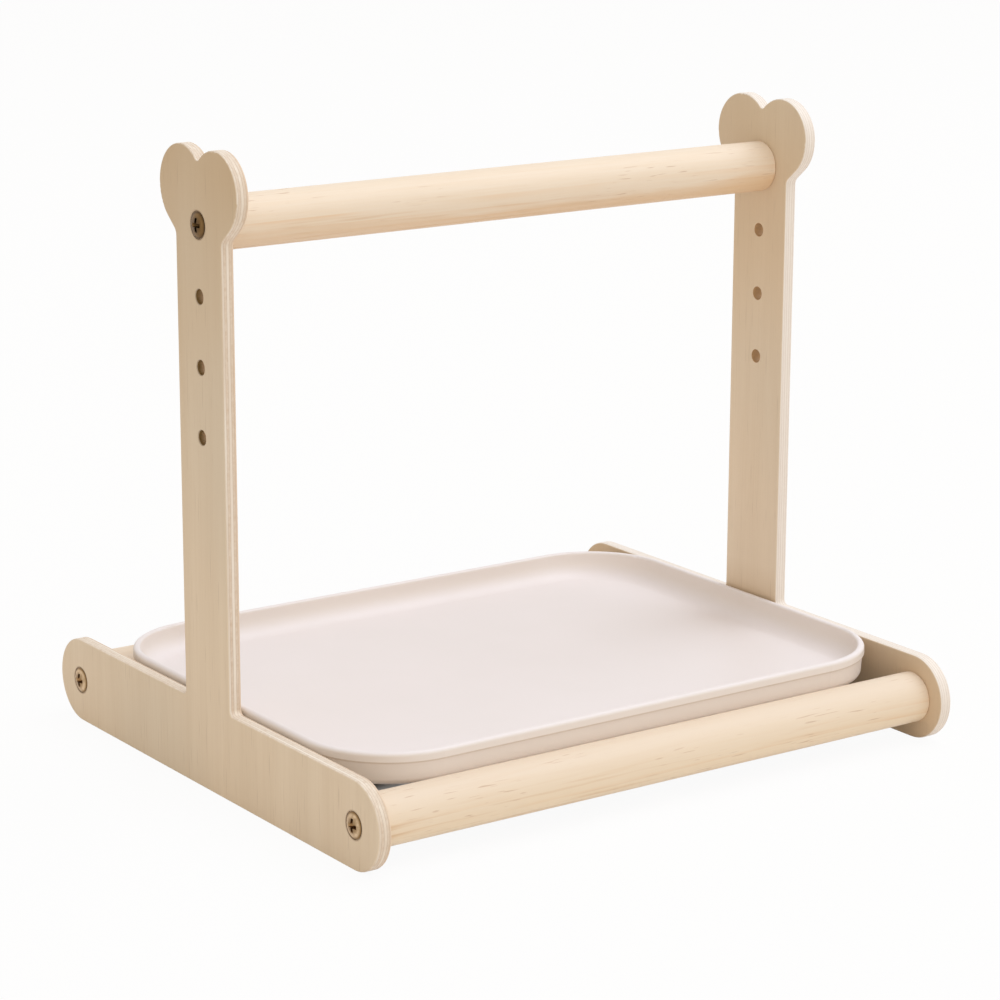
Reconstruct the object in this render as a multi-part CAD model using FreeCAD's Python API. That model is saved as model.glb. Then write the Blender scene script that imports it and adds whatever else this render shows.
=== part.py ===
# Parrot play stand.
# Two plywood side frames, each an upright with a two-lobed top on a long rounded rail, are held
# apart by three round pine bars: a perch between the uprights and a front and a rear bar between
# the rails. A shallow moulded tray lies between the frames, with the rounded foot of its walls on
# the inner flanks of the two low bars. One raised countersunk M6 screw goes through the plywood
# into a threaded insert at each end of each bar. The perch uses the top one of four heights.
#
# Millimetres. The origin is on the floor, under the middle of the stand. +X runs along the bars,
# to the right, +Y to the rear and +Z up. The front is at -Y.
import FreeCAD
import Part
import math
import os

from FreeCAD import Vector

# ---- driving dimensions: side frames ----
inner_span = 293.0          # between the inner faces of the two frames; also the length of a bar
ply_thickness = 6.0
rail_height = 38.5
rail_overhang = 19.0        # from the axis of a low bar to the end of the rail
foot_fillet = 2.5           # inner corner between the upright and the rail
upright_width = 37.5
neck_drop = 5.0             # from the perch's axis down to where the top widens
neck_fillet = 4.0
lobe_radius = 18.0
lobe_offset = 13.8          # from the middle of the upright to the centre of a lobe
lobe_rise = 14.3            # from the perch's axis up to the centres of the lobes
notch_fillet = 2.0
ply_edge_round = 0.8

# ---- driving dimensions: bars ----
bar_diameter = 23.0
bar_end_round = 0.8
bar_spacing = 233.0         # between the axes of the front and the rear bar
perch_height = 246.0        # from the floor to the perch's axis
height_pitch = 30.0         # between one height of the perch and the next
free_hole_count = 3         # in each upright, below the hole in use

# ---- driving dimensions: screws and inserts ----
thread_diameter = 6.0
thread_pitch = 1.0
thread_depth = 0.6
screw_length = 28.0         # from the face of the plywood to the tip
screw_plain_length = 5.0    # without thread, from the face of the plywood
screw_tip_chamfer = 1.0
head_diameter = 11.3
head_raise = 1.2
recess_diameter = 6.6
recess_slot = 1.7
recess_depth = 2.6
recess_floor_diameter = 2.2
screw_hole_clearance = 0.4  # on the diameter, in the plywood
head_clearance = 0.1        # between the cone of the head and its seat
head_ring_gap = 0.45        # round the rim of the head, in the face of the plywood
head_ring_depth = 0.5
hole_mouth_chamfer = 0.4    # round the outer mouth of a free hole
insert_diameter = 10.0
insert_length = 15.0
insert_ridge_pitch = 2.5
insert_ridge_depth = 0.9
insert_set_back = 0.5       # of the insert below the end of the bar
insert_clearance = 0.05     # between the insert and its bore, and between a screw and its insert
tip_clearance = 2.0         # between the tip of a screw and the bottom of the bore

# ---- driving dimensions: tray ----
tray_side_gap = 1.2         # between the rim and each side frame
tray_height = 14.5
tray_corner_radius = 41.5
rim_height = 4.3
rim_step = 0.8              # of the rim out from the wall
rim_round = 1.7             # outside, along the top
rim_inner_round = 1.2
tray_wall = 2.4
tray_floor = 2.6
tray_draft = 0.6            # of the wall inwards from the rim to the floor
tray_foot_round = 3.0       # outside, between the wall and the floor
tray_well_round = 8.5       # inside, between the wall and the floor
tray_seat_gap = 0.3         # between the tray's foot and the two low bars
tray_seat_inset = 10.8      # from the axis of a low bar in to the centre of the foot's round

# ---- sizes that follow ----
bar_radius = bar_diameter / 2
thread_radius = thread_diameter / 2
head_radius = head_diameter / 2
low_bar_height = rail_height / 2
tray_draft_angle = math.atan(tray_draft / (tray_height - rim_height))
tray_foot_inset = tray_foot_round * math.tan((math.pi / 2 - tray_draft_angle) / 2)
tray_depth = bar_spacing + 2 * (rim_step + tray_draft + tray_foot_inset - tray_seat_inset)
bar_places = {
    "perch": (0.0, perch_height),
    "front": (-bar_spacing / 2, low_bar_height),
    "rear": (bar_spacing / 2, low_bar_height),
}
sides = {"left": -1, "right": 1}
X_AXIS = Vector(1, 0, 0)
Z_AXIS = Vector(0, 0, 1)


def line(start, end):
    """Straight edge between two points."""
    return Part.LineSegment(start, end).toShape()


def arc(start, middle, end):
    """Round edge through three points."""
    return Part.Arc(start, middle, end).toShape()


def turned(profile, axis_start, axis):
    """Solid turned from a closed list of points."""
    edges = [line(a, b) for a, b in zip(profile, profile[1:] + profile[:1])]
    face = Part.Face(Part.Wire(edges))
    return Part.makeSolid(face.revolve(axis_start, axis, 360))


def edges_through(shape, points):
    """Edges of a shape that pass through any of the points."""
    near = 1e-4
    return [e for e in shape.Edges
            if any(e.distToShape(Part.Vertex(p))[0] < near for p in points)]


def round_edges_at(shape, radius, points):
    """Shape with the edges that pass through the points rounded."""
    return shape.makeFillet(radius, edges_through(shape, points))


# ---------------------------------------------------------------- side frames

def lobe_geometry():
    """Neck corner, tangent point, far point of the lobe and notch, as (y, z) on the +Y side."""
    lobe_z = perch_height + lobe_rise
    neck = (upright_width / 2, perch_height - neck_drop)
    to_lobe = (lobe_offset - neck[0], lobe_z - neck[1])
    distance = math.hypot(*to_lobe)
    flank_angle = math.atan2(to_lobe[1], to_lobe[0]) - math.asin(lobe_radius / distance)
    flank_length = math.sqrt(distance ** 2 - lobe_radius ** 2)
    tangent = (neck[0] + flank_length * math.cos(flank_angle),
               neck[1] + flank_length * math.sin(flank_angle))
    start_angle = math.atan2(tangent[1] - lobe_z, tangent[0] - lobe_offset)
    end_angle = math.pi - math.acos(lobe_offset / lobe_radius)
    middle_angle = (start_angle + end_angle) / 2
    far = (lobe_offset + lobe_radius * math.cos(middle_angle),
           lobe_z + lobe_radius * math.sin(middle_angle))
    notch = (0.0, lobe_z + lobe_radius * math.sin(end_angle))
    return neck, tangent, far, notch


def frame_outline(x):
    """Closed wire of a side frame in the plane at x."""
    neck, tangent, far, notch = lobe_geometry()
    end_radius = rail_height / 2
    end_centre = bar_spacing / 2 + rail_overhang - end_radius
    half_upright = upright_width / 2

    def at(side, y, z):
        return Vector(x, side * y, z)

    edges = [line(at(-1, end_centre, 0), at(1, end_centre, 0))]
    for side in (1, -1):
        edges += [
            arc(at(side, end_centre, 0), at(side, end_centre + end_radius, end_radius),
                at(side, end_centre, rail_height)),
            line(at(side, end_centre, rail_height), at(side, half_upright, rail_height)),
            line(at(side, half_upright, rail_height), at(side, *neck)),
            line(at(side, *neck), at(side, *tangent)),
            arc(at(side, *tangent), at(side, *far), at(side, *notch)),
        ]
    return Part.Wire(Part.__sortEdges__(edges))


def screw_hole(y, z, outer_x, inward, mouth_radius):
    """Hole in the plywood: a straight bore with a 45 degree mouth at the outer face."""
    bore_radius = (thread_diameter + screw_hole_clearance) / 2
    outer = Vector(outer_x, y, z)
    direction = X_AXIS * inward
    bore = Part.makeCylinder(bore_radius, ply_thickness, outer, direction)
    mouth = Part.makeCone(mouth_radius, bore_radius, mouth_radius - bore_radius, outer, direction)
    return bore.fuse(mouth)


def side_frame(side):
    """One side frame with its edges eased and its screw holes cut."""
    outer_x = side * (inner_span / 2 + ply_thickness)
    inward = -side
    blank = Part.Face(frame_outline(outer_x)).extrude(X_AXIS * inward * ply_thickness)
    middle_x = outer_x + inward * ply_thickness / 2
    neck, tangent, far, notch = lobe_geometry()
    corners = {
        foot_fillet: (upright_width / 2, rail_height),
        neck_fillet: neck,
        notch_fillet: notch,
    }
    for radius, (y, z) in corners.items():
        places = [Vector(middle_x, y, z), Vector(middle_x, -y, z)]
        blank = round_edges_at(blank, radius, places)
    rims = [e for e in blank.Edges if e.BoundBox.XLength < ply_thickness / 2]
    frame = blank.makeFillet(ply_edge_round, rims)
    seat_radius = head_radius + head_clearance
    ring_radius = head_radius + head_ring_gap
    for y, z in bar_places.values():
        frame = frame.cut(screw_hole(y, z, outer_x, inward, seat_radius))
        ring_start = Vector(outer_x, y, z)
        frame = frame.cut(Part.makeCylinder(ring_radius, head_ring_depth, ring_start, X_AXIS * inward))
    free_mouth = (thread_diameter + screw_hole_clearance) / 2 + hole_mouth_chamfer
    for step in range(1, free_hole_count + 1):
        z = perch_height - step * height_pitch
        frame = frame.cut(screw_hole(0.0, z, outer_x, inward, free_mouth))
    return frame


# ---------------------------------------------------------------- bars, inserts and screws

def bar(y, z):
    """Round bar between the frames, with a blind bore for an insert and a screw at each end."""
    start = Vector(-inner_span / 2, y, z)
    shape = Part.makeCylinder(bar_radius, inner_span, start, X_AXIS)
    rims = [e for e in shape.Edges if e.BoundBox.XLength < bar_end_round]
    shape = shape.makeFillet(bar_end_round, rims)
    bore_depth = screw_length - ply_thickness + tip_clearance
    bore_radius = insert_diameter / 2 + insert_clearance
    for side in sides.values():
        mouth = Vector(side * inner_span / 2, y, z)
        shape = shape.cut(Part.makeCylinder(bore_radius, bore_depth, mouth, X_AXIS * -side))
    return shape


def insert():
    """Threaded insert along +X from the origin, its outer ridges drawn as closed rings."""
    crest = insert_diameter / 2
    root = crest - insert_ridge_depth
    bore = thread_radius + insert_clearance
    ridges = int(insert_length / insert_ridge_pitch)
    pitch = insert_length / ridges
    profile = [Vector(0, bore, 0), Vector(0, root, 0)]
    for ridge in range(ridges):
        profile.append(Vector((ridge + 0.5) * pitch, crest, 0))
        profile.append(Vector((ridge + 1) * pitch, root, 0))
    profile.append(Vector(insert_length, bore, 0))
    return turned(profile, Vector(), X_AXIS)


def screw_head_dome():
    """Raised top of the screw's head: a cap of a sphere, flat side on the plane X = 0."""
    sphere_radius = (head_radius ** 2 + head_raise ** 2) / (2 * head_raise)
    sphere = Part.makeSphere(sphere_radius, Vector(sphere_radius - head_raise, 0, 0))
    window = Part.makeCylinder(head_radius, head_raise, Vector(-head_raise, 0, 0), X_AXIS)
    return sphere.common(window)


def cross_recess():
    """Tapered cross-shaped recess that opens at the top of the dome."""
    depth = recess_depth + head_raise
    top = Vector(-head_raise, 0, 0)
    taper = Part.makeCone(recess_diameter / 2, recess_floor_diameter / 2, depth, top, X_AXIS)
    reach = recess_diameter
    slots = [
        Part.makeBox(depth, reach, recess_slot, Vector(-head_raise, -reach / 2, -recess_slot / 2)),
        Part.makeBox(depth, recess_slot, reach, Vector(-head_raise, -recess_slot / 2, -reach / 2)),
    ]
    return slots[0].fuse(slots[1]).common(taper)


def screw():
    """Screw along +X, the plane of the plywood's face at X = 0, its thread drawn as rings."""
    root = thread_radius - thread_depth
    cone_length = head_radius - thread_radius
    turns = int((screw_length - screw_plain_length - screw_tip_chamfer) / thread_pitch)
    thread_start = screw_length - screw_tip_chamfer - turns * thread_pitch
    profile = [
        Vector(0, 0, 0),
        Vector(0, head_radius, 0),
        Vector(cone_length, thread_radius, 0),
        Vector(thread_start, thread_radius, 0),
    ]
    for turn in range(turns):
        start = thread_start + turn * thread_pitch
        profile.append(Vector(start + thread_pitch / 2, root, 0))
        profile.append(Vector(start + thread_pitch, thread_radius, 0))
    profile.append(Vector(screw_length, thread_radius - screw_tip_chamfer, 0))
    profile.append(Vector(screw_length, 0, 0))
    shank = turned(profile, Vector(), X_AXIS)
    return shank.fuse(screw_head_dome()).removeSplitter().cut(cross_recess())


def placed(shape, side, x_from_middle, y, z):
    """Copy of a shape drawn along +X, pointing inwards from a place on the given side."""
    copy = shape.copy()
    if side > 0:
        copy.rotate(Vector(), Z_AXIS, 180)
    copy.translate(Vector(side * x_from_middle, y, z))
    return copy


# ---------------------------------------------------------------- tray

def tray_wire(inset, z):
    """Rounded rectangle at height z, drawn in from the rim's outline by the inset."""
    half_x = inner_span / 2 - tray_side_gap - inset
    half_y = tray_depth / 2 - inset
    radius = tray_corner_radius - inset
    diagonal = radius * (1 - math.sqrt(0.5))
    corners = [(1, 1), (-1, 1), (-1, -1), (1, -1)]
    edges = []
    for index, (sx, sy) in enumerate(corners):
        on_y = Vector(sx * (half_x - radius), sy * half_y, z)
        on_x = Vector(sx * half_x, sy * (half_y - radius), z)
        middle = Vector(sx * (half_x - diagonal), sy * (half_y - diagonal), z)
        start, end = (on_x, on_y) if index % 2 == 0 else (on_y, on_x)
        edges.append(arc(start, middle, end))
        next_sx, next_sy = corners[(index + 1) % 4]
        if next_sy == sy:
            follow = Vector(next_sx * (half_x - radius), sy * half_y, z)
        else:
            follow = Vector(sx * half_x, next_sy * (half_y - radius), z)
        edges.append(line(end, follow))
    return Part.Wire(edges)


def tray_block(low_inset, low_z, high_inset, high_z):
    """Closed block between two rounded rectangles."""
    return Part.makeLoft([tray_wire(low_inset, low_z), tray_wire(high_inset, high_z)], True, True)


def level_edges(shape, z):
    """Edges that lie in the plane at height z."""
    near = 1e-4
    return [e for e in shape.Edges
            if abs(e.BoundBox.ZMin - z) < near and abs(e.BoundBox.ZMax - z) < near]


def tray_bottom_height():
    """Height of the tray's underside, from its rounded foot resting on the low bars."""
    reach = bar_radius + tray_foot_round + tray_seat_gap
    rise = math.sqrt(reach ** 2 - tray_seat_inset ** 2)
    return low_bar_height + rise - tray_foot_round


def tray():
    """Shallow tray with a stepped rim, a drafted wall and a rounded foot."""
    bottom = tray_bottom_height()
    top = bottom + tray_height
    under_rim = top - rim_height
    body = tray_block(rim_step + tray_draft, bottom, rim_step, under_rim)
    body = body.makeFillet(tray_foot_round, level_edges(body, bottom))
    rim = tray_block(0, under_rim, 0, top)
    rim = rim.makeFillet(rim_round, level_edges(rim, top))
    shape = body.fuse(rim)
    floor = bottom + tray_floor
    well_inset = rim_step + tray_wall
    well = tray_block(well_inset + tray_draft, floor, well_inset, top)
    well = well.makeFillet(tray_well_round, level_edges(well, floor))
    shape = shape.cut(well)
    return shape.makeFillet(rim_inner_round, level_edges(shape, top))


# ---------------------------------------------------------------- files

def write_node(name, shape):
    """One node: one closed solid in one file."""
    solid = shape.Solids[0]
    if len(shape.Solids) != 1 or not solid.isValid():
        raise ValueError("bad solid: " + name)
    solid.exportStep("parts/" + name + ".step")


def main():
    os.makedirs("parts", exist_ok=True)
    write_node("tray", tray())
    one_screw = screw()
    one_insert = insert()
    for place, (y, z) in bar_places.items():
        write_node("perch" if place == "perch" else place + "_bar", bar(y, z))
        for side_name, side in sides.items():
            end = "_" + side_name
            face = inner_span / 2 + ply_thickness
            write_node(place + "_screw" + end, placed(one_screw, side, face, y, z))
            seat = inner_span / 2 - insert_set_back
            write_node(place + "_insert" + end, placed(one_insert, side, seat, y, z))
    for side_name, side in sides.items():
        write_node("side_frame_" + side_name, side_frame(side))


main()
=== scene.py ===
"""Looks of the parrot play stand: wood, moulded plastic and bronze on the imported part.

Metres, in the part's own frame: +X along the bars, -Y to the front and +Z up, the floor at Z = 0.
A list of stops holds (place, level) pairs. A stretch holds blotches per metre along X, Y and Z.
"""
import math

import bpy
from mathutils import Matrix, Vector

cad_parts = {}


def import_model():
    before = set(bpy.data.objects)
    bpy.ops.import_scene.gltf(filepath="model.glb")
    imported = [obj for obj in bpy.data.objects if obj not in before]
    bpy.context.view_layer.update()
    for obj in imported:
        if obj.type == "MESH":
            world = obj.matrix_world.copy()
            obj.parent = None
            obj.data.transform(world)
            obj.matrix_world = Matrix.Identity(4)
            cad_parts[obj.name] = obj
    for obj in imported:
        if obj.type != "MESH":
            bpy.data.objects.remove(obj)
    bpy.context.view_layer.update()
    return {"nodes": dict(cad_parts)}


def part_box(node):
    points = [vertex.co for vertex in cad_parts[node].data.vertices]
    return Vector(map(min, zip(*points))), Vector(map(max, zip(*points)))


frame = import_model()

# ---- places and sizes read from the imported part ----
PLY_INNER_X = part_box("side_frame_right")[0][0]
PLY_OUTER_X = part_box("side_frame_right")[1][0]
PLY_TOP_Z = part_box("side_frame_right")[1][2]
BAR_Y = sum(corner[1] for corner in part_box("rear_bar")) / 2
LOW_BAR_Z = sum(corner[2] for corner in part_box("rear_bar")) / 2
PERCH_Z = sum(corner[2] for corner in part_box("perch")) / 2
BAR_RADIUS = (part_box("perch")[1][2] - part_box("perch")[0][2]) / 2
TRAY_TOP_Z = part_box("tray")[1][2]

# ---- sizes of the part that its boxes don't give ----
HOLE_PITCH = 0.030
HOLES = [(0.0, PERCH_Z - step * HOLE_PITCH) for step in (1, 2, 3)]
SCREW_AXES = [(0.0, PERCH_Z)] + [(side * BAR_Y, LOW_BAR_Z) for side in (-1, 1)]
HEAD_RADIUS = 0.00565
HEAD_RAISE = 0.0012
RIM_HEIGHT = 0.0043             # of the tray, down to the step in its wall

# ---- plywood: layers, as shares of its thickness from the inner face ----
PLY_JOINTS = (0.18, 0.39, 0.61, 0.82)
PLY_JOINT_EDGE = 0.006          # over which the grain turns, to each side of a joint
GLUE_HALF_WIDTH = 0.016
PLY_WAVER = 0.07                # of the layers
INNER_FACE_STOPS = [(0.25, 1.0), (0.40, 0.0)]
INNER_PLY_STOPS = [(0.14, 0.55), (0.24, 0.0)]

# ---- fibres and relief of both woods ----
FIBRE_ROUGHNESS = 0.6
WOOD_BUMP_STRENGTH = 0.6

# ---- plywood: grain, painted shade and a painted highlight ----
WAVER_STRETCH = (60, 60, 60)
BROAD_STRETCH = (20, 75, 4)
BROAD_DISTORTION = 0.6
BROAD_STOPS = [(0.35, 0.0), (0.75, 0.20)]
FIBRE_STRETCH = (200, 900, 18)
FIBRE_STOPS = [(0.45, 0.0), (0.80, 0.13)]
GREY_STRETCH = (6, 11, 8)
GREY_STOPS = [(0.38, 0.0), (0.66, 0.7)]
PORE_STRETCH = (300, 1100, 55)
PORE_STOPS = [(0.72, 0.0), (0.82, 0.20)]
AGED_STOPS = [(0.30, 0.0), (0.54, 0.15), (0.85, 0.8), (0.97, 1.0)]    # by share of the height
AGED_RIGHT = 0.72               # of the left frame's ageing
LOW_SHADE_STOPS = [(0.12, 0.50), (0.20, 0.0)]                               # by share of the height; painted shade low down on the right frame's inner face
LONG_PLY_STRETCH = (500, 500, 14)
CROSS_PLY_STRETCH = (500, 14, 500)
CORE_FIBRE_STOPS = [(0.35, 0.0), (0.8, 0.6)]
LONG_PLY_END_SHARE = 0.4        # of the darkening of a cross ply's end grain
END_GRAIN_SHARE = 0.42
# share of the painted highlight that makes the right frame's edges paler
RIGHT_EDGE_HIGHLIGHT = 0.75
GLUE_SHARE = 0.75
FACE_STOPS = [(0.55, 0.0), (0.9, 1.0)]                                # by the normal's X
# painted shade round the screw heads, in and just beyond the gap round each head
RING_SHADE_RADIUS = 0.0068
RING_SHADE_SHARE = 0.55
# painted shade in the free holes
HOLE_SHADE_RADIUS = 0.0037
ROUND_EDGE_STOPS = [(0.90, 1.0), (1.0, 0.0)]
BORE_RAGGED = 0.4
BORE_SHADE_STOPS = [(0.45, 0.75), (1.0, 0.05)]                              # painted shade in the bores, by depth in the sheet
PLY_BUMP = 0.00008
GLUE_BUMP_SHARE = -0.6

# ---- pine: grain, and painted shade on the low bars' tops ----
RING_WIDTH = 0.0034             # one year's growth
RING_STOPS = [(0.0, 0.0), (0.45, 0.15), (0.78, 0.7), (0.90, 1.0), (0.97, 0.2), (1.0, 0.0)]
SWAY_STRETCH = (6, 30, 30)
SWAY = 0.004
PATCH_STRETCH = (11, 90, 90)
PATCH_STOPS = [(0.42, 0.0), (0.66, 0.62)]
PINE_FIBRE_STRETCH = (22, 900, 900)
PINE_FIBRE_STOPS = [(0.35, 0.0), (0.75, 0.5)]
TOP_SHADE_STOPS = [(0.10, 1.0), (0.75, 0.0)]                                # painted shade on the lit tops of the low bars, down from the bar's top
STREAKED_STOPS = [(0.30, 0.15), (0.50, 1.0)]                          # down from the bar's top
WANDER_STRETCH = (13, 60, 60)
WANDER = 0.016
HEARTWOOD_STOPS = [(0.84, 0.70), (0.95, 0.42), (1.03, 0.0)]           # by share of its radius
HEARTWOOD_MIDDLE = 0.72         # at the middle of the bar's length
HEARTWOOD_SLOPE = 0.28          # more of it at the right end
STREAK_STRETCH = (17, 480, 480)
STREAK_STOPS = [(0.53, 0.0), (0.72, 0.62)]
STREAK_MIDDLE = 0.60            # at the middle of the bar's length
STREAK_SLOPE = -0.40            # more of them at the left end
CANAL_STRETCH = (110, 1400, 1400)
CANAL_STOPS = [(0.71, 0.0), (0.81, 0.48)]
CANAL_GROUP_STRETCH = (17, 60, 60)
CANAL_GROUP_STOPS = [(0.48, 0.08), (0.60, 1.0)]
PINE_BUMP = 0.00006

# ---- tray ----
CLOUD_STRETCH = (25, 25, 25)
CLOUD_STOPS = [(0.3, 0.0), (0.7, 1.0)]
GRAIN_STRETCH = (2600, 2600, 2600)
GRAIN_BUMP = 0.00002
GRAIN_BUMP_STRENGTH = 0.5
WALL_SHADE_STOPS = [(0.25, 1.0), (0.85, 0.0)]                              # painted warm shade on the steep walls, by the normal's Z
RIM_LINE = 0.0016               # height of the shaded line under the rim
RIM_LINE_STOPS = [(0.20, 0.0), (0.45, 1.0), (0.65, 0.9), (1.0, 0.0)]
RIM_LINE_SHARE = 0.75

# ---- screws ----
PATINA_STRETCH = (500, 500, 500)
PATINA_STOPS = [(0.30, 1.0), (0.70, 0.45)]
PATINA_BUMP = 0.00003
PATINA_BUMP_STRENGTH = 0.4
# wear and painted highlight on a ring of the dome, by share of the head's radius
WEAR_AND_HIGHLIGHT_STOPS = [(0.0, 0.0), (0.45, 0.25), (0.74, 1.0), (0.84, 0.85), (0.92, 0.15), (1.0, 0.0)]
RECESS_DEPTH = 0.0012           # at which the recess is darkest
RECESS_STOPS = [(0.1, 0.0), (1.0, 0.85)]

# ---- gloss: (roughness, specular level) ----
PLY_GLOSS = (0.55, 0.3)
PINE_GLOSS = (0.5, 0.35)
TRAY_GLOSS = (0.48, 0.4)
FLOOR_GLOSS = (0.9, 0.0)
METAL_SPECULAR = 0.5
BRONZE_ROUGHNESS = 0.42
BRASS_ROUGHNESS = 0.35

# ---- colours, linear ----
PLY_FACE_PALE = (0.885, 0.735, 0.555, 1)
PLY_FACE_WARM = (0.645, 0.462, 0.27, 1)
# painted shade for the low part of the right frame's inner face
PLY_FACE_PAINTED_SHADE = (0.60, 0.41, 0.235, 1)
PLY_FACE_DARK = (0.62, 0.45, 0.28, 1)
PLY_FACE_GREY = (0.80, 0.685, 0.53, 1)
PLY_PORE = (0.42, 0.29, 0.18, 1)
PLY_CORE_LIGHT = (0.90, 0.805, 0.69, 1)
PLY_CORE_DARK = (0.64, 0.47, 0.32, 1)
PLY_CORE_WARM = (0.74, 0.53, 0.35, 1)
# painted highlight on the right frame's edges
PLY_CORE_HIGHLIGHT = (0.93, 0.86, 0.79, 1)
PLY_GLUE = (0.40, 0.27, 0.17, 1)
# painted shade in the free holes' bores
HOLE_SHADE_DARK = (0.17, 0.10, 0.022, 1)
HOLE_SHADE_MID = (0.80, 0.58, 0.38, 1)
HOLE_SHADE_EVEN = (0.52, 0.335, 0.17, 1)
PINE_LIGHT = (0.87, 0.735, 0.585, 1)
PINE_MIDDLE = (0.84, 0.67, 0.485, 1)
# painted shade colour for the lit tops of the low bars
PINE_TOP_SHADE = (0.80, 0.66, 0.52, 1)
PINE_PALE = (0.93, 0.785, 0.605, 1)
PINE_YELLOW = (0.90, 0.72, 0.50, 1)
PINE_DARK = (0.80, 0.53, 0.30, 1)
PINE_HEART = (0.76, 0.50, 0.27, 1)
PINE_STREAK = (0.68, 0.43, 0.22, 1)
PINE_CANAL = (0.50, 0.27, 0.14, 1)
TRAY_LIGHT = (0.865, 0.797, 0.785, 1)
TRAY_DARK = (0.85, 0.784, 0.768, 1)
# painted warm shade on the tray's steep walls
TRAY_WALL_SHADE = (0.85, 0.775, 0.72, 1)
TRAY_SHADE = (0.58, 0.455, 0.355, 1)
# bronze in a dull and a lit copy; the low screws get the lighter pair as painted highlight
BRONZE_BRIGHT = (0.74, 0.54, 0.34, 1)
BRONZE_LIGHT = (0.24, 0.136, 0.050, 1)
BRONZE_DARK = (0.11, 0.060, 0.023, 1)
# recess colours: patina and painted shade, darkest on the perch's screw
BRONZE_RECESS = (0.34, 0.19, 0.08, 1)
BRONZE_PATINA_AND_SHADE = (0.060, 0.032, 0.012, 1)
BRASS = (0.62, 0.46, 0.22, 1)
FLOOR_PALE = (0.84, 0.80, 0.75, 1)
WHITE = (1, 1, 1, 1)

# ---- the three bars: pith (Y, Z), offset of the noise, radius of the heartwood ----
PINE_BARS = {
    "perch": {
        "name": "pine_perch", "axis_z": PERCH_Z, "pith": (0.016, 0.222), "turn": 1.7,
        "heart": 0.0345, "light": PINE_LIGHT, "middle": PINE_MIDDLE, "top_shade": 0.0,
    },
    "front_bar": {
        "name": "pine_front", "axis_z": LOW_BAR_Z, "pith": (-0.098, 0.052), "turn": 3.1,
        "heart": 0.010, "light": PINE_PALE, "middle": PINE_YELLOW, "top_shade": 0.8,
    },
    "rear_bar": {
        "name": "pine_rear", "axis_z": LOW_BAR_Z, "pith": (0.135, 0.047), "turn": 5.9,
        "heart": 0.010, "light": PINE_PALE, "middle": PINE_YELLOW, "top_shade": 0.8,
    },
}

# ---- camera: place, angles in degrees, lens and sensor in millimetres ----
CAMERA_PLACE = (-0.8014, -1.1456, 0.4660)
CAMERA_YAW = -34.972
CAMERA_PITCH = 14.395
CAMERA_ROLL = 0.201
CAMERA_LENS = 115.76
SENSOR = 36.0

# ---- sockets of the Mix node for colours, which have the same names as its other ones ----
MIX_SHARE, MIX_FIRST, MIX_SECOND = 0, 6, 7
MIX_RESULT = 2

# ---- light and floor ----
WORLD_LIGHT = 0.55
SEEN_LIGHT = 1.0                # of the world, to the camera and to clear and glossy surfaces
WORLD_TINT = (1.05, 0.965, 0.86, 1)
LAMP_AIM = (0, 0, 0.1)
KEY_PLACE = (1.5, -0.65, 3.6)
KEY_SIZE = 4.0
KEY_POWER = 100.0
KEY_TINT = (0.93, 1.02, 1.15)
FILL_PLACE = (-1.4, -3.2, 0.5)
FILL_SIZE = 2.8
FILL_POWER = 23.0
FILL_TINT = (1.0, 0.99, 0.96)
FLOOR_SIZE = 12.0
FLOOR_BLEACH = 0.94             # share of white in the floor as seen round the stand, none under it
OPEN_X_STOPS = [(0.88, 0.0), (0.98, 1.0)]                             # by share of the inner width
OPEN_Y_STOPS = [(0.30, 0.0), (0.68, 1.0)]                             # by share of the bars' places


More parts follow.
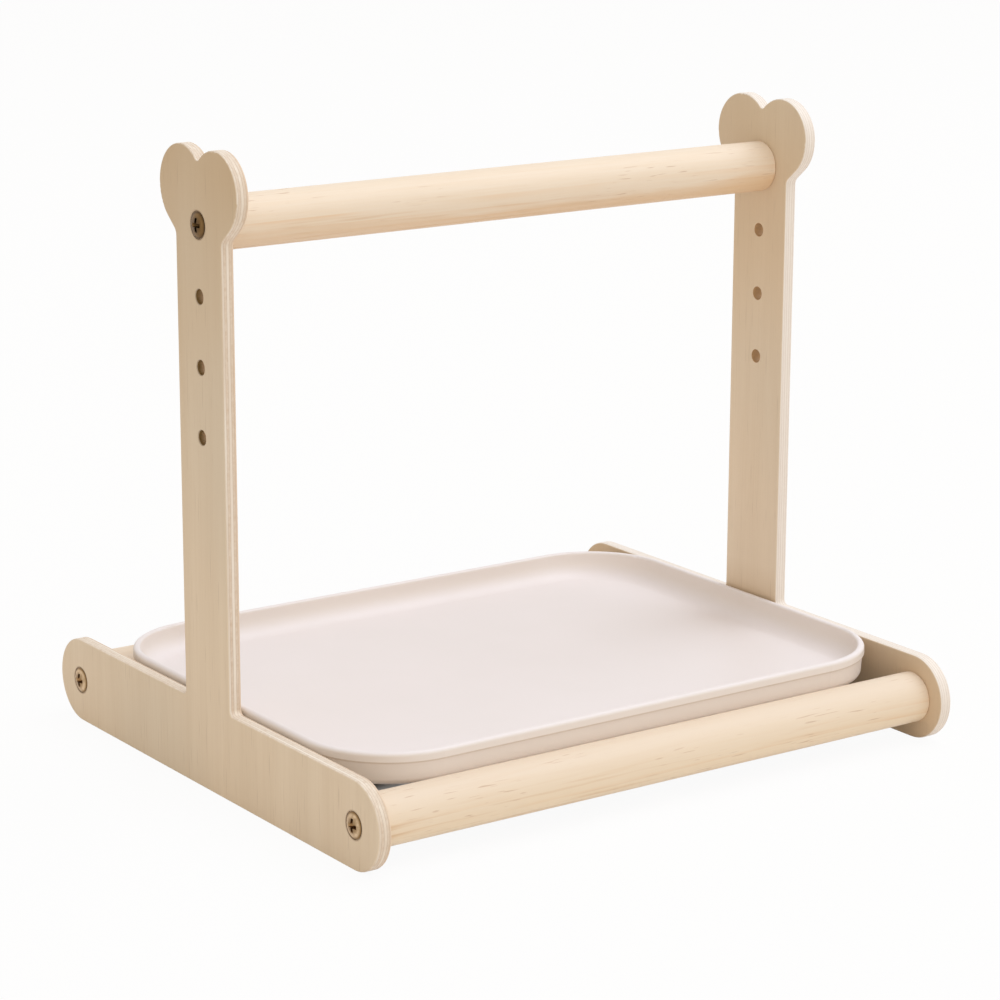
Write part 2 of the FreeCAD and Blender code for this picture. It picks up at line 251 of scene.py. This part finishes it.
class Graph:
    """Short way to put together the nodes of one tree."""

    def __init__(self, tree):
        self.tree = tree

    def node(self, kind, **settings):
        node = self.tree.nodes.new(kind)
        for key, value in settings.items():
            setattr(node, key, value)
        return node

    def feed(self, socket, value):
        """Links another node's output, or sets a plain value."""
        if isinstance(value, bpy.types.NodeSocket):
            self.tree.links.new(value, socket)
        else:
            socket.default_value = value

    def math(self, operation, *values, clamp=False):
        node = self.node("ShaderNodeMath", operation=operation, use_clamp=clamp)
        for socket, value in zip(node.inputs, values):
            self.feed(socket, value)
        return node.outputs[0]

    def plus(self, a, b):
        return self.math("ADD", a, b)

    def minus(self, a, b):
        return self.math("SUBTRACT", a, b)

    def times(self, a, b):
        return self.math("MULTIPLY", a, b)

    def over(self, a, b):
        return self.math("DIVIDE", a, b)

    def size(self, a):
        """The number without its sign."""
        return self.math("ABSOLUTE", a)

    def line(self, a, slope, middle, clamp=False):
        """Straight line, at its middle value where a is zero."""
        return self.math("MULTIPLY_ADD", a, slope, middle, clamp=clamp)

    def length(self, a, b):
        """Length of the vector with the sides a and b."""
        return self.math("SQRT", self.plus(self.times(a, a), self.times(b, b)))

    def place(self):
        return self.node("ShaderNodeTexCoord").outputs["Object"]

    def normal(self):
        return self.node("ShaderNodeTexCoord").outputs["Normal"]

    def split(self, vector):
        node = self.node("ShaderNodeSeparateXYZ")
        self.feed(node.inputs[0], vector)
        return node.outputs

    def vector(self, operation, a, b):
        node = self.node("ShaderNodeVectorMath", operation=operation)
        self.feed(node.inputs[0], a)
        self.feed(node.inputs[1], b)
        return node.outputs[0]

    def noise(self, place, stretch, detail=2.0, roughness=0.5, distortion=0.0, offset=None):
        """Noise with about one blotch per 1 / stretch metres along each axis."""
        if offset is not None:
            place = self.vector("ADD", place, offset)
        node = self.node("ShaderNodeTexNoise")
        self.feed(node.inputs["Vector"], self.vector("MULTIPLY", place, stretch))
        self.feed(node.inputs["Scale"], 1.0)
        self.feed(node.inputs["Detail"], detail)
        self.feed(node.inputs["Roughness"], roughness)
        self.feed(node.inputs["Distortion"], distortion)
        return node.outputs["Fac"]

    def swing(self, place, stretch, **settings):
        """Noise between -0.5 and 0.5."""
        return self.minus(self.noise(place, stretch, **settings), 0.5)

    def ramp(self, value, stops):
        """Number that runs through (place, level) stops."""
        node = self.node("ShaderNodeValToRGB")
        elements = node.color_ramp.elements
        while len(elements) < len(stops):
            elements.new(1.0)
        for element, (at, level) in zip(elements, stops):
            element.position = at
            element.color = (level, level, level, 1)
        self.feed(node.inputs[0], value)
        return node.outputs["Color"]

    def mix(self, share, first, second):
        """The first colour where the share is zero, the second where it is one."""
        node = self.node("ShaderNodeMix", data_type="RGBA")
        self.feed(node.inputs[MIX_SHARE], share)
        self.feed(node.inputs[MIX_FIRST], first)
        self.feed(node.inputs[MIX_SECOND], second)
        return node.outputs[MIX_RESULT]

    def seen(self):
        """One for camera, glossy and transmission rays, zero for the others."""
        paths = self.node("ShaderNodeLightPath").outputs
        nearest = self.math("MAXIMUM", paths["Is Camera Ray"], paths["Is Glossy Ray"])
        return self.math("MAXIMUM", nearest, paths["Is Transmission Ray"])


class Surface(Graph):
    """Graph of one material, with its shader."""

    def __init__(self, name):
        self.material = bpy.data.materials.new(name)
        self.material.use_nodes = True
        super().__init__(self.material.node_tree)
        self.shader = self.tree.nodes["Principled BSDF"]

    def bump(self, height, distance, strength):
        node = self.node("ShaderNodeBump")
        self.feed(node.inputs["Height"], height)
        self.feed(node.inputs["Distance"], distance)
        self.feed(node.inputs["Strength"], strength)
        self.feed(self.shader.inputs["Normal"], node.outputs[0])

    def finish(self, colour, roughness, specular, metallic=0.0):
        self.feed(self.shader.inputs["Base Color"], colour)
        self.feed(self.shader.inputs["Roughness"], roughness)
        self.feed(self.shader.inputs["Metallic"], metallic)
        self.feed(self.shader.inputs["Specular IOR Level"], specular)
        return self.material


def distance_to_axes(g, y, z, axes):
    """Distance to the nearest of some axes along X."""
    nearest = None
    for axis_y, axis_z in axes:
        away = g.length(g.minus(y, axis_y), g.minus(z, axis_z))
        nearest = away if nearest is None else g.math("MINIMUM", nearest, away)
    return nearest


def round_mask(g, y, z, axes, radius):
    """One within a radius of the axes, zero elsewhere."""
    return g.ramp(g.over(distance_to_axes(g, y, z, axes), radius), ROUND_EDGE_STOPS)


def ply_layers(g, depth):
    """Two masks: one for the cross plies and one for the glue lines."""
    cross_stops = [(0.0, 0.0)]
    glue_stops = [(0.0, 0.0)]
    for index, joint in enumerate(PLY_JOINTS):
        before, after = (1.0, 0.0) if index % 2 else (0.0, 1.0)
        cross_stops += [(joint - PLY_JOINT_EDGE, before), (joint + PLY_JOINT_EDGE, after)]
        glue_stops += [(joint - GLUE_HALF_WIDTH, 0.0), (joint, 1.0), (joint + GLUE_HALF_WIDTH, 0.0)]
    return g.ramp(depth, cross_stops), g.ramp(depth, glue_stops)


def ply_face(g, place, depth, height, fibres, on_left):
    """Veneer, warmer towards the top, with painted shade in brown low down on the right frame's inner
    face.
    """
    share_of_left = g.plus(AGED_RIGHT, g.times(on_left, 1 - AGED_RIGHT))
    aged = g.times(g.ramp(height, AGED_STOPS), share_of_left)
    face = g.mix(aged, PLY_FACE_PALE, PLY_FACE_WARM)
    grey = g.ramp(g.noise(place, GREY_STRETCH, detail=1), GREY_STOPS)
    face = g.mix(grey, face, PLY_FACE_GREY)
    # painted shade: brown low down on the right frame's inner face, near the tray and bars
    inside_right = g.math("SUBTRACT", g.ramp(depth, INNER_FACE_STOPS), on_left, clamp=True)
    face = g.mix(g.times(g.ramp(height, LOW_SHADE_STOPS), inside_right), face, PLY_FACE_PAINTED_SHADE)
    broad = g.noise(place, BROAD_STRETCH, detail=3, distortion=BROAD_DISTORTION)
    face = g.mix(g.ramp(broad, BROAD_STOPS), face, PLY_FACE_DARK)
    face = g.mix(g.ramp(fibres, FIBRE_STOPS), face, PLY_FACE_DARK)
    pores = g.ramp(g.noise(place, PORE_STRETCH, detail=0), PORE_STOPS)
    return g.mix(pores, face, PLY_PORE)


def ply_edge(g, place, depth, cross, glue, normal_y, normal_z, on_left):
    """Sawn edge: plies with their end grain darker, glue lines, and a painted highlight that makes
    the right frame's edges paler.
    """
    end = g.mix(cross, g.times(g.size(normal_z), LONG_PLY_END_SHARE), g.size(normal_y))
    long_fibres = g.noise(place, LONG_PLY_STRETCH, detail=3)
    cross_fibres = g.noise(place, CROSS_PLY_STRETCH, detail=3)
    fibre = g.mix(cross, long_fibres, cross_fibres)
    core = g.mix(g.ramp(fibre, CORE_FIBRE_STOPS), PLY_CORE_LIGHT, PLY_CORE_DARK)
    core = g.mix(g.times(end, END_GRAIN_SHARE), core, PLY_CORE_DARK)
    core = g.mix(g.times(g.ramp(depth, INNER_PLY_STOPS), on_left), core, PLY_CORE_WARM)
    # painted highlight: the right frame's edges paler
    core = g.mix(g.times(g.minus(1.0, on_left), RIGHT_EDGE_HIGHLIGHT), core, PLY_CORE_HIGHLIGHT)
    return g.mix(g.times(glue, GLUE_SHARE), core, PLY_GLUE)


def hole_shade(g, depth, fibres, on_left):
    """Wall of the free holes, painted shade that is darker towards the outer face on the left frame
    and even on the right frame.
    """
    ragged = g.plus(depth, g.times(fibres, BORE_RAGGED))
    wall = g.mix(g.ramp(ragged, BORE_SHADE_STOPS), HOLE_SHADE_DARK, HOLE_SHADE_MID)
    return g.mix(on_left, HOLE_SHADE_EVEN, wall)


def plywood():
    """Five plies by depth in the sheet, their grain in turn along Z and along Y."""
    g = Surface("plywood")
    place = g.place()
    x, y, z = g.split(place)
    normal_x, normal_y, normal_z = g.split(g.normal())
    depth = g.over(g.minus(g.size(x), PLY_INNER_X), PLY_OUTER_X - PLY_INNER_X)
    depth = g.plus(depth, g.times(g.swing(place, WAVER_STRETCH), PLY_WAVER))
    height = g.over(z, PLY_TOP_Z)
    on_left = g.math("LESS_THAN", x, 0.0)
    fibres = g.noise(place, FIBRE_STRETCH, detail=3, roughness=FIBRE_ROUGHNESS)
    cross, glue = ply_layers(g, depth)

    face = ply_face(g, place, depth, height, fibres, on_left)
    edge = ply_edge(g, place, depth, cross, glue, normal_y, normal_z, on_left)
    sideways = g.ramp(g.size(normal_x), FACE_STOPS)
    colour = g.mix(sideways, edge, face)
    # painted shade: a dark ring in the plywood round each screw head
    ring = round_mask(g, y, z, SCREW_AXES, RING_SHADE_RADIUS)
    colour = g.mix(g.times(ring, RING_SHADE_SHARE), colour, PLY_PORE)
    # painted shade in the free holes' bores
    bored = g.times(round_mask(g, y, z, HOLES, HOLE_SHADE_RADIUS), g.minus(1.0, sideways))
    colour = g.mix(bored, colour, hole_shade(g, depth, fibres, on_left))
    g.bump(g.plus(fibres, g.times(glue, GLUE_BUMP_SHARE)), PLY_BUMP, WOOD_BUMP_STRENGTH)
    return g.finish(colour, *PLY_GLOSS)


def late_wood(g, place, across, turn):
    """Dark part of the growth rings, in patches."""
    late = g.ramp(g.math("FRACT", g.over(across, RING_WIDTH)), RING_STOPS)
    patch = g.noise(place, PATCH_STRETCH, detail=3, offset=(turn, turn, turn))
    return g.times(late, g.ramp(patch, PATCH_STOPS))


def heartwood(g, place, across, along, turn, heart):
    """Zone round the pith, with a wandering edge, stronger towards the right end."""
    wander = g.swing(place, WANDER_STRETCH, detail=3, offset=(turn, 0, 0))
    core = g.over(g.plus(across, g.times(wander, WANDER)), heart)
    return g.times(g.ramp(core, HEARTWOOD_STOPS), g.line(along, HEARTWOOD_SLOPE, HEARTWOOD_MIDDLE))


def streaks(g, place, along, turn):
    """Fine dark streaks, stronger towards the left end."""
    fine = g.noise(place, STREAK_STRETCH, detail=2, offset=(0, turn, turn))
    return g.times(g.ramp(fine, STREAK_STOPS), g.line(along, STREAK_SLOPE, STREAK_MIDDLE, clamp=True))


def resin_canals(g, place, turn):
    """Short dark dashes in groups."""
    dashes = g.noise(place, CANAL_STRETCH, detail=0, offset=(turn, 0, turn))
    groups = g.noise(place, CANAL_GROUP_STRETCH, detail=1, offset=(0, 0, turn))
    return g.times(g.ramp(dashes, CANAL_STOPS), g.ramp(groups, CANAL_GROUP_STOPS))


def pine(name, axis_z, pith, turn, heart, light, middle, top_shade):
    """Growth rings round a pith line along X, heartwood, streaks low down, short resin canals and
    painted shade on the lit tops of the low bars.
    """
    g = Surface(name)
    place = g.place()
    x, y, z = g.split(place)
    across = g.length(g.minus(y, pith[0]), g.minus(z, pith[1]))
    across = g.plus(across, g.times(g.swing(place, SWAY_STRETCH, detail=1), SWAY))
    along = g.over(x, PLY_INNER_X)
    down = g.plus(g.over(g.minus(axis_z, z), 2 * BAR_RADIUS), 0.5)
    streaked = g.ramp(down, STREAKED_STOPS)

    fibres = g.noise(place, PINE_FIBRE_STRETCH, detail=3, roughness=FIBRE_ROUGHNESS)
    colour = g.mix(g.ramp(fibres, PINE_FIBRE_STOPS), light, middle)
    # painted shade: the low bars' lit tops darkened towards tan
    colour = g.mix(g.times(g.ramp(down, TOP_SHADE_STOPS), top_shade), colour, PINE_TOP_SHADE)
    colour = g.mix(g.times(late_wood(g, place, across, turn), streaked), colour, PINE_DARK)
    colour = g.mix(heartwood(g, place, across, along, turn, heart), colour, PINE_HEART)
    colour = g.mix(g.times(streaks(g, place, along, turn), streaked), colour, PINE_STREAK)
    canals = resin_canals(g, place, turn)
    colour = g.mix(canals, colour, PINE_CANAL)
    g.bump(g.minus(fibres, canals), PINE_BUMP, WOOD_BUMP_STRENGTH)
    return g.finish(colour, *PINE_GLOSS)


def moulded_plastic():
    """Off-white plastic, with painted warm shade on the steep walls and painted shade in a line under
    the rim outside.
    """
    g = Surface("tray_plastic")
    place = g.place()
    x, y, z = g.split(place)
    normal_x, normal_y, normal_z = g.split(g.normal())
    cloud = g.noise(place, CLOUD_STRETCH, detail=2)
    colour = g.mix(g.ramp(cloud, CLOUD_STOPS), TRAY_LIGHT, TRAY_DARK)
    # painted shade: warmer, darker colour on the steep walls
    colour = g.mix(g.ramp(g.size(normal_z), WALL_SHADE_STOPS), colour, TRAY_WALL_SHADE)
    facing_out = g.math("GREATER_THAN", g.plus(g.times(normal_x, x), g.times(normal_y, y)), 0.0)
    under_rim = g.over(g.minus(TRAY_TOP_Z - RIM_HEIGHT, z), RIM_LINE)
    line = g.ramp(g.plus(under_rim, 0.5), RIM_LINE_STOPS)
    colour = g.mix(g.times(line, g.times(facing_out, RIM_LINE_SHARE)), colour, TRAY_SHADE)
    grain = g.noise(place, GRAIN_STRETCH, detail=1)
    g.bump(grain, GRAIN_BUMP, GRAIN_BUMP_STRENGTH)
    return g.finish(colour, *TRAY_GLOSS)


def bronze():
    """Heads with a ring of wear and painted highlight, a recess dark with patina and painted shade,
    and painted highlight that makes the low screws brighter than the perch's.
    """
    g = Surface("bronze")
    place = g.place()
    x, y, z = g.split(place)
    patina = g.noise(place, PATINA_STRETCH, detail=3)
    # painted highlight: the low screws get brighter copies of the bronze colours than the perch's
    lit_low_screws = g.math("LESS_THAN", z, PERCH_Z / 2)
    out = g.over(distance_to_axes(g, y, z, SCREW_AXES), HEAD_RADIUS)
    # wear and painted highlight on a ring of each head
    wear_and_highlight = g.times(g.ramp(out, WEAR_AND_HIGHLIGHT_STOPS), g.ramp(patina, PATINA_STOPS))
    dull = g.mix(lit_low_screws, BRONZE_DARK, BRONZE_LIGHT)
    bright = g.mix(lit_low_screws, BRONZE_LIGHT, BRONZE_BRIGHT)
    colour = g.mix(wear_and_highlight, dull, bright)
    dome = g.times(g.minus(1.0, g.times(out, out)), HEAD_RAISE)
    proud = g.minus(g.size(x), PLY_OUTER_X)
    below = g.over(g.minus(dome, proud), RECESS_DEPTH)
    # patina and painted shade in the cross recess
    recess = g.mix(lit_low_screws, BRONZE_PATINA_AND_SHADE, BRONZE_RECESS)
    colour = g.mix(g.ramp(below, RECESS_STOPS), colour, recess)
    g.bump(patina, PATINA_BUMP, PATINA_BUMP_STRENGTH)
    return g.finish(colour, BRONZE_ROUGHNESS, METAL_SPECULAR, metallic=1.0)


def brass():
    """Plain metal of the threaded inserts."""
    return Surface("insert_brass").finish(BRASS, BRASS_ROUGHNESS, METAL_SPECULAR, metallic=1.0)


def backdrop_material():
    """Diffuse floor that camera, clear and glossy rays see as nearly white round the stand."""
    g = Surface("floor_white")
    g.finish(FLOOR_PALE, *FLOOR_GLOSS)
    glow = g.node("ShaderNodeEmission")
    g.feed(glow.inputs["Color"], WHITE)
    x, y = g.split(g.place())[:2]
    open_x = g.ramp(g.over(g.size(x), PLY_INNER_X), OPEN_X_STOPS)
    open_y = g.ramp(g.over(g.size(y), BAR_Y), OPEN_Y_STOPS)
    bleach = g.times(g.math("MAXIMUM", open_x, open_y), FLOOR_BLEACH)
    blend = g.node("ShaderNodeMixShader")
    g.feed(blend.inputs["Fac"], g.times(g.seen(), bleach))
    g.feed(blend.inputs[1], g.shader.outputs[0])
    g.feed(blend.inputs[2], glow.outputs[0])
    g.feed(g.tree.nodes["Material Output"].inputs["Surface"], blend.outputs[0])
    return g.material


def dress():
    """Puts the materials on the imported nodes."""
    ply = plywood()
    plastic = moulded_plastic()
    metal = bronze()
    insert_metal = brass()
    bars = {node_name: pine(**settings) for node_name, settings in PINE_BARS.items()}
    for name, node in frame["nodes"].items():
        if name.startswith("side_frame"):
            material = ply
        elif name in bars:
            material = bars[name]
        elif name == "tray":
            material = plastic
        elif "insert" in name:
            material = insert_metal
        else:
            material = metal
        for slot in node.material_slots:
            slot.material = material


def floor():
    """Wide plane under the stand, which isn't a piece of the part."""
    bpy.ops.mesh.primitive_plane_add(size=FLOOR_SIZE, location=(0, 0, 0))
    plane = bpy.context.object
    plane.name = "floor"
    plane.data.materials.append(backdrop_material())


def world():
    """Even light, which the camera and clear or glossy rays see as white."""
    studio = bpy.data.worlds.new("studio")
    bpy.context.scene.world = studio
    studio.use_nodes = True
    g = Graph(studio.node_tree)
    background = g.tree.nodes["Background"]
    seen = g.seen()
    level = g.node("ShaderNodeMapRange")
    g.feed(level.inputs["Value"], seen)
    g.feed(level.inputs["To Min"], WORLD_LIGHT)
    g.feed(level.inputs["To Max"], SEEN_LIGHT)
    g.feed(background.inputs["Strength"], level.outputs[0])
    g.feed(background.inputs["Color"], g.mix(seen, WORLD_TINT, WHITE))


def lamp(name, place, size, power, tint):
    """Square lamp at a place, turned to the stand."""
    data = bpy.data.lights.new(name, "AREA")
    data.color = tint
    data.shape = "SQUARE"
    data.size = size
    data.energy = power
    lamp_object = bpy.data.objects.new(name, data)
    bpy.context.collection.objects.link(lamp_object)
    lamp_object.location = place
    direction = Vector(LAMP_AIM) - Vector(place)
    lamp_object.rotation_euler = direction.to_track_quat("-Z", "Y").to_euler()


def camera():
    """Camera whose place, angles and lens were fitted to points of the photo."""
    data = bpy.data.cameras.new("camera")
    data.sensor_width = SENSOR
    data.lens = CAMERA_LENS
    camera_object = bpy.data.objects.new("camera", data)
    bpy.context.collection.objects.link(camera_object)
    turn = Matrix.Rotation(math.radians(CAMERA_YAW), 4, "Z")
    tilt = Matrix.Rotation(math.radians(90 - CAMERA_PITCH), 4, "X")
    roll = Matrix.Rotation(math.radians(CAMERA_ROLL), 4, "Z")
    camera_object.matrix_world = Matrix.Translation(CAMERA_PLACE) @ turn @ tilt @ roll
    bpy.context.scene.camera = camera_object


dress()
floor()
world()
lamp("key", KEY_PLACE, KEY_SIZE, KEY_POWER, KEY_TINT)
lamp("fill", FILL_PLACE, FILL_SIZE, FILL_POWER, FILL_TINT)
camera()
bpy.context.scene.view_settings.view_transform = "Standard"
